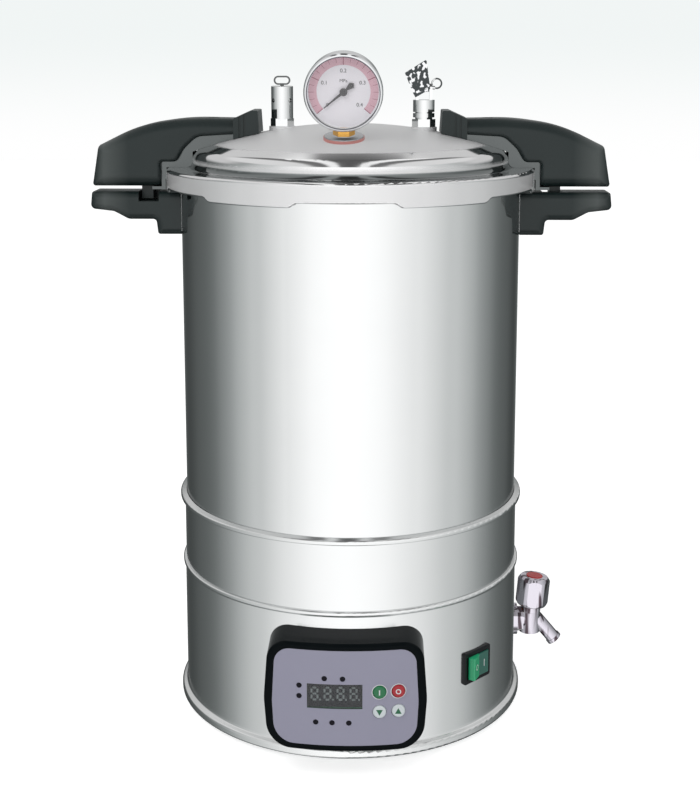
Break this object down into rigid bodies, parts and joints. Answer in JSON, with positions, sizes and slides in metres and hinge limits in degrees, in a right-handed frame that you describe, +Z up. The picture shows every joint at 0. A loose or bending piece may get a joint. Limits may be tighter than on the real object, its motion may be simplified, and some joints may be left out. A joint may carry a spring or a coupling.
{
  "type": "portable autoclave",
  "caption": "Portable top-loading steam autoclave: steel pot on a heated base with a lugged lid, gauge, valves, control box and drain tap.",
  "frame": {"origin": "the pot's axis at floor level, which is also the middle of the bounding box's base", "axes": "+Z up along the pot's axis, -Y towards the front with the control box, +X towards the drain tap on the right"},
  "size_m": [0.4372, 0.351, 0.559],
  "materials": {
    "polished_steel": "polished stainless steel",
    "drum_steel": "polished stainless sheet",
    "inner_steel": "plain stainless steel",
    "zinc_steel": "zinc-plated steel",
    "handle_plastic": "black phenolic, satin gloss",
    "seal_rubber": "silicone rubber, semi-gloss",
    "foot_rubber": "black rubber, matt",
    "pink_rubber": "silicone rubber, matt",
    "brass": "bright brass",
    "bezel_chrome": "polished",
    "valve_chrome": "polished",
    "dial": "white enamel, printed",
    "pointer": "black enamel",
    "gauge_glass": "clear",
    "box_plastic": "black, glossy",
    "panel_film": "printed film, satin",
    "window_plastic": "smoked, glossy",
    "module_plastic": "dark grey",
    "digit_plastic": "unlit segments",
    "board": "glass-fibre board",
    "lamp_plastic": "dark red lens",
    "green_button": "glossy",
    "red_button": "glossy",
    "white_button": "glossy",
    "switch_plastic": "black, glossy",
    "rocker_plastic": "green, translucent look",
    "tap_chrome": "polished",
    "cap_plastic": "red, glossy",
    "gland_plastic": "black nylon",
    "ceramic": "cream moulding"
  },
  "bodies": {
    "base": {"base_drum": "drum_steel", "middle_band": "drum_steel", "base_plate": "zinc_steel", "rubber_feet": "foot_rubber", "base_screws": "zinc_steel", "support_ring": "zinc_steel", "thermostat": "inner_steel", "terminal_block": "ceramic", "chamber_pot": "polished_steel", "heating_element": "inner_steel", "heater_fittings": "inner_steel", "drain_pipe": "brass", "bucket_stand": "inner_steel", "sterilizing_bucket": "inner_steel", "left_lower_handle": "handle_plastic", "right_lower_handle": "handle_plastic", "lower_handle_brackets": "inner_steel", "lower_handle_screws": "inner_steel", "control_housing": "box_plastic", "control_panel": "panel_film", "display_window": "window_plastic", "display_module": "module_plastic", "display_digits": "digit_plastic", "circuit_board": "board", "indicator_lamps": "lamp_plastic", "rocker_housing": "switch_plastic", "tap_body": "tap_chrome", "tap_washer": "tap_chrome", "inner_locknuts": "brass", "cable_gland": "gland_plastic"},
    "bail": {"bucket_bail": "inner_steel"},
    "knob": {"tap_knob": "tap_chrome", "tap_cap": "cap_plastic"},
    "switch_rocker": {"rocker": "rocker_plastic"},
    "start": {"start_button": "green_button"},
    "stop": {"stop_button": "red_button"},
    "up": {"up_button": "white_button"},
    "down": {"down_button": "white_button"},
    "seal": {"lid_seal": "seal_rubber"},
    "cover": {"lid": "polished_steel", "lid_nuts": "inner_steel", "lid_brackets": "polished_steel", "left_upper_handle": "handle_plastic", "right_upper_handle": "handle_plastic", "handle_end_caps": "handle_plastic", "upper_handle_screws": "inner_steel", "gauge_case": "bezel_chrome", "gauge_bezel": "bezel_chrome", "gauge_lens": "gauge_glass", "gauge_dial": "dial", "gauge_movement": "brass", "gauge_stem": "brass", "gauge_washer": "bezel_chrome", "gauge_seal": "pink_rubber", "safety_valve_body": "valve_chrome", "safety_valve_spring": "inner_steel", "vent_valve_body": "valve_chrome"},
    "needle": {"gauge_pointer": "pointer"},
    "plug": {"safety_valve_stem": "valve_chrome"},
    "vent": {"vent_lever": "valve_chrome"}
  },
  "joints": [
    {"name": "lid_lift", "type": "slide", "parent": "base", "child": "seal", "axis": [0, 0, 1], "range_m": [0, 0.2]},
    {"name": "lid_turn", "type": "hinge", "parent": "seal", "child": "cover", "pos_m": [0, 0, 0.4603], "axis": [0, 0, 1], "range_deg": [0, 30]},
    {"name": "gauge_needle", "type": "hinge", "parent": "cover", "child": "needle", "pos_m": [-0.0032, -0.08682, 0.52845], "axis": [0, 0.9795, 0.2015], "range_deg": [0, 260], "stiffness_Nm_per_rad": 0.0002},
    {"name": "safety_valve_lift", "type": "slide", "parent": "cover", "child": "plug", "axis": [0, 0, 1], "range_m": [0, 0.003], "stiffness_N_per_m": 1500, "springref_m": -0.004, "deforming": ["safety_valve_spring"]},
    {"name": "vent_lever_swing", "type": "hinge", "parent": "cover", "child": "vent", "pos_m": [0.0615, 0, 0.52823], "axis": [1, 0, 0], "range_deg": [-80, 0]},
    {"name": "bail_swing", "type": "hinge", "parent": "base", "child": "bail", "pos_m": [0, 0, 0.33555], "axis": [1, 0, 0], "range_deg": [0, 222.2]},
    {"name": "tap_turn", "type": "hinge", "parent": "base", "child": "knob", "pos_m": [0.1593, 0, 0.0605], "axis": [0.0872, 0, 0.9962], "range_deg": [0, 90]},
    {"name": "power_rocker", "type": "hinge", "parent": "base", "child": "switch_rocker", "pos_m": [0.1041, -0.09775, 0.0628], "axis": [0, 0, 1], "range_deg": [-22, 0]},
    {"name": "start_press", "type": "slide", "parent": "base", "child": "start", "axis": [0, 1, 0], "range_m": [0, 0.0006], "stiffness_N_per_m": 1500, "springref_m": -0.0008},
    {"name": "stop_press", "type": "slide", "parent": "base", "child": "stop", "axis": [0, 1, 0], "range_m": [0, 0.0006], "stiffness_N_per_m": 1500, "springref_m": -0.0008},
    {"name": "up_press", "type": "slide", "parent": "base", "child": "up", "axis": [0, 1, 0], "range_m": [0, 0.0006], "stiffness_N_per_m": 1500, "springref_m": -0.0008},
    {"name": "down_press", "type": "slide", "parent": "base", "child": "down", "axis": [0, 1, 0], "range_m": [0, 0.0006], "stiffness_N_per_m": 1500, "springref_m": -0.0008}
  ]
}
